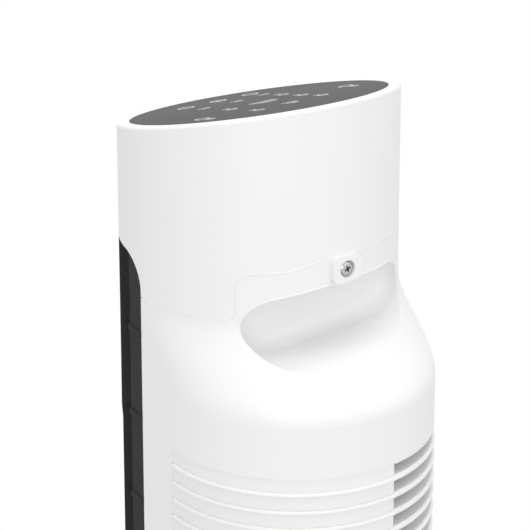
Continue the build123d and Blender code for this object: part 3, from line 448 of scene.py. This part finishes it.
# Fan motor and swing motor: drawn steel cans under bright zinc, bolted to the bulkheads.
# Drawing leaves fine streaks along the cans, and the zinc has a cloudy sheen.
zinc_can, shader, place = new_finish("zinc_can", Metallic=1.0)
streaks = grained(place, along=0.030, across=0.0006)
bloom = place.node("TexNoise", sockets={"Vector": place, "Scale": 90.0, "Detail": 4.0})
feed(
    shader,
    Base_Color=bloom.mix(*shades((0.58, 0.59, 0.60), mottle=0.10)),
    Roughness=0.24 + 0.12 * streaks + 0.08 * bloom,
    Normal=place.node("Bump", sockets={"Height": streaks, "Strength": 0.08, "Distance": 0.0001}),
)
dress(zinc_can, "fan_motor", "oscillation_motor")

# Inner screws and the fan's two shafts: carbon steel, bright and slightly uneven.
# The screws are cold-headed and nickel-plated, and the shafts are ground.
plated_steel = moulded(
    "plated_steel", (0.62, 0.62, 0.61), roughness=0.24, grain=0.0004, depth=0.06, mottle=0.08, Metallic=1.0
)
dress(
    plated_steel,
    "base_screws",
    "retainer_screws",
    "housing_screws",
    "bulkhead_screws",
    "control_board_screws",
    "motor_screws",
    "oscillation_screws",
    "board_screws",
    "motor_shaft",
    "stub_shaft",
)

# Ballast ring: a sand-cast iron ring in the base, dipped in black lacquer and trapped under the base cover.
# The sand's grain and a few shallow pits show through the lacquer.
ballast_iron, shader, place = new_finish("ballast_iron")
sand = place.node("TexNoise", sockets={"Vector": place, "Scale": 520.0, "Detail": 4.0})
pits = place.node("TexVoronoi", {"feature": "F1"}, {"Vector": place, "Scale": 110.0})
skin = sand + pits.step(0.0, 0.25)
feed(
    shader,
    Base_Color=sand.mix((0.020, 0.020, 0.021, 1.0), (0.055, 0.054, 0.053, 1.0)),
    Roughness=0.42 + 0.30 * sand,
    Normal=place.node("Bump", sockets={"Height": skin, "Strength": 0.4, "Distance": 0.0004}),
)
dress(ballast_iron, "ballast_ring")

# Bearing sleeve and touch springs: the sleeve is turned from bronze bar, the springs are of brass.
# Turning and drawing leave fine lines round them, and the metal is slightly tarnished.
brass, shader, place = new_finish("brass", Metallic=1.0)
lines = grained(place, along=0.00025, across=0.004)
tarnish = place.node("TexNoise", sockets={"Vector": place, "Scale": 240.0, "Detail": 3.0})
feed(
    shader,
    Base_Color=tarnish.step(0.35, 0.75).mix((0.72, 0.52, 0.22, 1.0), (0.50, 0.34, 0.15, 1.0)),
    Roughness=0.24 + 0.14 * tarnish,
    Normal=place.node("Bump", sockets={"Height": lines, "Strength": 0.10, "Distance": 0.0001}),
)
dress(brass, "top_bearing", "touch_springs")

# Rear cover's screw: a zinc-plated pan head with a cross recess, sunk in the tab's pad and held by its clip.
# The head is cold-formed with a low dome, and the recess tapers to its floor.
screw_low, screw_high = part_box("cover_screw")
head_radius = (screw_high.x - screw_low.x) / 2
head_height = 0.0024
head_side = 0.0012
dome_rings = 5
dome_share = 0.55
shank_radius = 0.0020
recess_span = 0.0056
recess_depth = 0.0020
recess_slot = 0.0014
recess_taper = (0.45, 1.0, 0.7)
recess_turn = radians(20.0)
screw_z = (screw_low.z + screw_high.z) / 2
seat = screw_high.y - head_height
bpy.ops.mesh.primitive_cylinder_add(
    vertices=64,
    radius=head_radius,
    depth=head_side,
    location=(0.0, seat + head_side / 2, screw_z),
    rotation=(-pi / 2, 0.0, 0.0),
)
rear_screw = bpy.context.object
settle(rear_screw)
pick_faces(rear_screw, lambda middle, normal: normal.y > 0.9)
for ring in range(dome_rings):
    turn, turned = (ring * pi / 2 / dome_rings, (ring + 1) * pi / 2 / dome_rings)
    reach = dome_share * head_radius * (cos(turn) - cos(turned))
    rise = (head_height - head_side) * (sin(turned) - sin(turn))
    bpy.ops.mesh.inset(thickness=reach)
    bpy.ops.transform.translate(value=(0.0, rise, 0.0))
pick_faces(rear_screw, lambda middle, normal: normal.y < -0.9)
bpy.ops.mesh.inset(thickness=head_radius - shank_radius)
bpy.ops.mesh.extrude_region_move(TRANSFORM_OT_translate={"value": (0.0, screw_low.y - seat, 0.0)})
bpy.ops.object.mode_set(mode="OBJECT")
for turn in (0.0, pi / 2):
    bpy.ops.mesh.primitive_cube_add(size=1.0)
    wing = bpy.context.object
    edit(wing)
    bpy.ops.transform.resize(value=(recess_span, 2 * recess_depth, recess_slot))
    pick_faces(wing, lambda middle, normal: normal.y < -0.9)
    bpy.ops.transform.resize(value=recess_taper)
    bpy.ops.object.mode_set(mode="OBJECT")
    wing.rotation_euler = (0.0, turn + recess_turn, 0.0)
    wing.location = (0.0, screw_high.y, screw_z)
    settle(wing)
    recess = rear_screw.modifiers.new("recess", "BOOLEAN")
    recess.object = wing
    recess.solver = "EXACT"
    bpy.context.view_layer.objects.active = rear_screw
    bpy.ops.object.modifier_apply(modifier="recess")
    bpy.data.objects.remove(wing)
bright_zinc, shader, place = new_finish("bright_zinc", Metallic=1.0)
scuffs = place.node("TexNoise", sockets={"Vector": place, "Scale": 2400.0, "Detail": 3.0})
streaks = place.node("TexNoise", sockets={"Vector": place, "Scale": 500.0, "Detail": 2.0})
feed(
    shader,
    Base_Color=streaks.mix(*shades((0.54, 0.54, 0.535), mottle=0.20)),
    Roughness=0.20 + 0.14 * scuffs,
    Normal=place.node("Bump", sockets={"Height": scuffs, "Strength": 0.06, "Distance": 0.0001}),
)
complete(rear_screw, "rear_screw", bright_zinc, "rear_cover", "steel", "cover_screw")

# Lip of the hand recess: the rear cover's skin is rolled over a small round along the recess's upper mouth,
# so that fingers meet no edge. It is part of the moulding and follows the mouth from one end to the other.
lip_x = 0.0015
lip_z = 0.87615
lip_tilt = radians(4.0)
lip_end = 0.01845
lip_crown = 0.0210
lip_half_width = 0.0542
lip_centre = lip_half_width - lip_end
lip_round = 0.0006
lip_sunk = 0.0003
lip_steps = 24
pad_half_width = 0.0115
far_behind = 0.2
neck_y = -0.0175
column_top = 0.98005
column_radius = 0.080
column_taper = 0.005
crown_radius = (lip_centre**2 + lip_crown**2 - lip_end**2) / (2 * (lip_crown - lip_end))
touch = pi / 2 - asin(lip_centre / (crown_radius - lip_end))
mouth = []
for step in range(lip_steps + 1):
    turn = touch * step / lip_steps
    mouth.append((lip_centre + lip_end * cos(turn), lip_end * sin(turn)))
for step in range(1, 2 * lip_steps):
    turn = touch + (pi - 2 * touch) * step / (2 * lip_steps)
    mouth.append((crown_radius * cos(turn), lip_crown - crown_radius + crown_radius * sin(turn)))
mouth += [(-u, w) for u, w in reversed(mouth[: lip_steps + 1])]
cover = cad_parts["rear_cover"]


def neck_radius(z):
    """Radius of the neck and column, which widen downwards."""
    return column_radius + column_taper * (column_top - z)


lip_points = []
for u, w in mouth:
    x = lip_x + u * cos(lip_tilt) + w * sin(lip_tilt)
    z = lip_z - u * sin(lip_tilt) + w * cos(lip_tilt)
    outward = Vector((u, 0.0, w)).normalized() * lip_sunk
    skin_y = cover.ray_cast(Vector((x, far_behind, z)) + outward, Vector((0.0, -1.0, 0.0)))[1].y
    if abs(x) < pad_half_width:
        skin_y = neck_y + sqrt(neck_radius(z) ** 2 - x**2)
    lip_points.append(Vector((x, skin_y - lip_sunk, z)) + outward)


def bead(points, radius):
    """A round bead along a line of points."""
    bpy.ops.mesh.primitive_plane_add(size=radius, location=points[0])
    piece = bpy.context.object
    settle(piece)
    edit(piece)
    bpy.ops.mesh.select_mode(type="VERT")
    bpy.ops.mesh.merge(type="CENTER")
    for start, stop in zip(points, points[1:]):
        bpy.ops.mesh.extrude_region_move(TRANSFORM_OT_translate={"value": stop - start})
    bpy.ops.object.mode_set(mode="OBJECT")
    bpy.ops.object.convert(target="CURVE")
    piece.data.bevel_depth = radius
    piece.data.bevel_resolution = 3
    piece.data.use_fill_caps = True
    bpy.ops.object.convert(target="MESH")
    edit(piece)
    bpy.ops.mesh.normals_make_consistent(inside=False)
    bpy.ops.object.mode_set(mode="OBJECT")
    return piece


recess_lip = bead(lip_points, lip_round)
complete(recess_lip, "recess_lip", white_shell, "rear_cover", "white_shell")

# Seam between head and rear cover: the cover's upper edge is rounded where it meets the head's half lap,
# so the joint shows as a pale line. The round belongs to the cover's moulding and comes away with it.
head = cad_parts["head_shell"]
seam_levels = (0.868, 0.925)
seam_round = 0.00046
seam_sunk = 0.00020
seam_lowered = 0.00008
seam_spacing = 0.0012
seam_precision = 0.00001
seam_half_turn = radians(90.0)
seam_least_turn = 0.0002
seam_parts = 24
outside = 0.13


def cover_edge(turn):
    """The cover's upper outer edge, met along one spoke of the neck."""
    spoke = Vector((sin(turn), cos(turn), 0.0))
    low, high = seam_levels
    while high - low > seam_precision:
        level = (low + high) / 2
        start = Vector((0.0, neck_y, level)) + outside * spoke
        on_cover, cover_point = cover.ray_cast(start, -spoke)[:2]
        on_head, head_point = head.ray_cast(start, -spoke)[:2]
        if on_cover and not (on_head and (head_point - start).length < (cover_point - start).length):
            low = level
        else:
            high = level
    return Vector((0.0, neck_y, low - seam_lowered)) + (neck_radius(low) - seam_sunk) * spoke


def edge_between(first, last):
    """The edge's points after the first spoke, close enough together to follow the tab's corners."""
    gap = cover_edge(last) - cover_edge(first)
    if gap.length < seam_spacing or last - first < seam_least_turn:
        return [cover_edge(last)]
    middle = (first + last) / 2
    return edge_between(first, middle) + edge_between(middle, last)


seam_turns = [seam_half_turn * (2 * part / seam_parts - 1) for part in range(seam_parts + 1)]
seam_points = [cover_edge(-seam_half_turn)]
for first, last in zip(seam_turns, seam_turns[1:]):
    seam_points += edge_between(first, last)
seam_edge = bead(seam_points, seam_round)
complete(seam_edge, "seam_edge", white_shell, "rear_cover", "white_shell")

# Blind ribs and slat fronts: the intake's slats have round fronts, and run on as finer half-round ribs over
# the closed half of the rear cover, one to each slat. They are part of the cover's moulding.
row_pitch = 0.0107
row_count = 59
first_row = 0.78765
row_steps = 36
column_axis = 0.0175
first_radius = neck_radius(first_row)
post_x = -0.0100
rib_end_y = 0.0112
rib_round = 0.00135
rib_sunk = 0.00025
slat_end_y = 0.0095
slat_round = 0.0020
slat_sunk = 0.00145


def bead_rows(first, last, radius, sunk, name):
    """Beads round the column between two turns from its rear, one to each row of the intake, as one piece."""
    points = []
    for step in range(row_steps + 1):
        turn = first + (last - first) * step / row_steps
        spoke = Vector((sin(turn), cos(turn), 0.0))
        points.append(Vector((0.0, column_axis, first_row)) + (first_radius - sunk) * spoke)
    rows = [bead(points, radius)]
    for row in range(1, row_count):
        bpy.ops.object.select_all(action="DESELECT")
        rows[0].select_set(True)
        bpy.context.view_layer.objects.active = rows[0]
        bpy.ops.object.duplicate()
        copy = bpy.context.object
        widening = 1.0 + column_taper * row_pitch * row / first_radius
        copy.scale = (widening, widening, 1.0)
        copy.location = (0.0, column_axis * (1.0 - widening), -row_pitch * row)
        settle(copy)
        rows.append(copy)
    for piece in rows:
        piece.select_set(True)
    bpy.context.view_layer.objects.active = rows[0]
    bpy.ops.object.join()
    complete(rows[0], name, white_shell, "rear_cover", "white_shell")


post_turn = asin(post_x / first_radius)
bead_rows(post_turn, acos((rib_end_y - column_axis) / first_radius), rib_round, rib_sunk, "blind_ribs")
bead_rows(post_turn, -acos((slat_end_y - column_axis) / first_radius), slat_round, slat_sunk, "slat_fronts")

# Filter frame: folded white board, glued at the corners, that slides into the rear cover.
# Its long paper fibres run up the frame and leave it dull.
filter_board, shader, place = new_finish("filter_board")
fibres = grained(place, along=0.006, across=0.0005)
feed(
    shader,
    Base_Color=fibres.mix(*shades((0.74, 0.74, 0.71), mottle=0.06)),
    Roughness=0.78 + 0.12 * fibres,
    Normal=place.node("Bump", sockets={"Height": fibres, "Strength": 0.25, "Distance": 0.0002}),
)
dress(filter_board, "filter_frame")

# Filter media: glass-fibre fleece, scored and folded into pleats and glued into the frame.
# The fleece is a mat of crossing fibres, a little grey where it has begun to take up dust.
filter_fleece, shader, place = new_finish("filter_fleece", Specular_IOR_Level=0.2)
mat = place.node("TexNoise", sockets={"Vector": place, "Scale": 1500.0, "Detail": 5.0, "Distortion": 1.5})
dust = place.node("TexNoise", sockets={"Vector": place, "Scale": 26.0, "Detail": 4.0})
clean_tone = mat.mix(*shades((0.83, 0.83, 0.81), mottle=0.05))
dusty_tone = (0.62, 0.61, 0.58, 1.0)
feed(
    shader,
    Base_Color=dust.step(0.45, 0.85).mix(clean_tone, dusty_tone),
    Roughness=0.86 + 0.10 * mat,
    Normal=place.node("Bump", sockets={"Height": mat, "Strength": 0.5, "Distance": 0.0003}),
)
dress(filter_fleece, "filter_media")

# Prefilter: a net of dark nylon threads woven about a millimetre apart and welded to its own border.
# It lies over the filter's open face and keeps hair and lint out of the pleats.
thread_spacing = 0.0012083
mesh_net, shader, place = new_finish("mesh_net")
threads = []
for index in (0, 2):
    bands = place.axis(index) * (2 * pi / thread_spacing)
    threads.append(bands.math("SINE", bands, 0.0))
net = threads[0].math("MAXIMUM", threads[0], threads[1])
feed(
    shader,
    Base_Color=net.step(0.1, 0.7).mix((0.010, 0.010, 0.011, 1.0), (0.060, 0.060, 0.064, 1.0)),
    Roughness=0.62 - 0.10 * net,
    Normal=place.node("Bump", sockets={"Height": net, "Strength": 0.5, "Distance": 0.0002}),
)
dress(mesh_net, "prefilter_mesh")

# Filter seal: closed-cell foam, die-cut from sheet and stuck round the frame so that no air passes beside it.
# The cut cells show as fine dimples.
seal_foam, shader, place = new_finish("seal_foam", Specular_IOR_Level=0.2)
cells = place.node("TexVoronoi", {"feature": "F1"}, {"Vector": place, "Scale": 1300.0})
feed(
    shader,
    Base_Color=cells.step(0.1, 0.7).mix((0.018, 0.018, 0.019, 1.0), (0.062, 0.062, 0.065, 1.0)),
    Roughness=0.85 + 0.12 * cells,
    Normal=place.node("Bump", sockets={"Height": cells, "Strength": 0.6, "Distance": 0.0004}),
)
dress(seal_foam, "filter_seal")

# Studio: a pale paper floor that runs out into a white surround, and large soft lamps above and behind.
# The floor stays plain paper round the base, where the shadow falls, and turns to white away from it.
floor_size = 24.0
paper_reach = 0.45
white_from = 1.10
daylight = 0.84
bpy.ops.mesh.primitive_plane_add(size=floor_size)
floor = bpy.context.object
floor.name = "floor"
floor_paper, shader, place = new_finish("floor_paper", Roughness=0.9)
fibres = place.node("TexNoise", sockets={"Vector": place, "Scale": 60.0, "Detail": 4.0})
feed(shader, Base_Color=fibres.mix((0.69, 0.69, 0.69, 1.0), (0.73, 0.73, 0.73, 1.0)))


def shown(tree):
    """1 for what the camera sees, itself or in a reflection or through glass."""
    path = tree.nodes.new("ShaderNodeLightPath")
    seen, mirrored, through = (
        Socket(tree, path.outputs[ray]) for ray in ("Is Camera Ray", "Is Glossy Ray", "Is Transmission Ray")
    )
    return seen.math("MAXIMUM", seen.math("MAXIMUM", seen, mirrored), through)


tree = floor_paper.node_tree
distance = place.node("VectorMath", {"operation": "LENGTH"}, {0: place}, "Value")
glow = place.node("Emission", sockets={"Color": (1.0, 1.0, 1.0, 1.0), "Strength": 1.0})
paper = Socket(tree, shader.outputs[0])
away = distance.step(paper_reach, white_from) * shown(tree)
blended = place.node("MixShader", sockets={0: away, 1: paper, 2: glow})
tree.links.new(blended.output, tree.nodes["Material Output"].inputs["Surface"])
floor.data.materials.append(floor_paper)

world = bpy.data.worlds.new("studio")
bpy.context.scene.world = world
world.use_nodes = True
tree = world.node_tree
surround = tree.nodes["Background"]
surround.inputs["Color"].default_value = (1.0, 1.0, 1.0, 1.0)
strength = daylight + shown(tree) * (1.0 - daylight)
tree.links.new(strength.output, surround.inputs["Strength"])


def softbox(name, place, target, size, power):
    """A square diffuse lamp at a place, facing a target."""
    lamp = bpy.data.lights.new(name, "AREA")
    lamp.size = size
    lamp.energy = power
    box = bpy.data.objects.new(name, lamp)
    box.location = place
    box.rotation_euler = (Vector(target) - Vector(place)).to_track_quat("-Z", "Y").to_euler()
    bpy.context.scene.collection.objects.link(box)


softbox("overhead", place=(0.0, 0.1, 2.3), target=(0.0, 0.0, 0.9), size=1.2, power=9.0)
softbox("camera_side", place=(1.0, 1.4, 1.1), target=(0.0, 0.0, 0.9), size=1.0, power=6.4)
softbox("behind", place=(-0.6, 1.5, 1.7), target=(0.0, 0.0, 0.88), size=1.0, power=2.0)

# Camera: a long lens behind the tower, on the side of its +X, looking down on the head.
# Only the head, the shoulder and the top of the rear cover are in its picture.
eye_place = (0.7401, 0.9961, 1.3646)
eye_view = Vector((-0.55256, -0.75215, -0.35909))
eye = bpy.data.cameras.new("photograph")
eye.lens = 157.9
eye.sensor_width = 36.0
camera = bpy.data.objects.new("photograph", eye)
camera.location = eye_place
camera.rotation_euler = eye_view.to_track_quat("-Z", "Y").to_euler()
bpy.context.scene.collection.objects.link(camera)
bpy.context.scene.camera = camera
bpy.context.scene.view_settings.view_transform = "Standard"
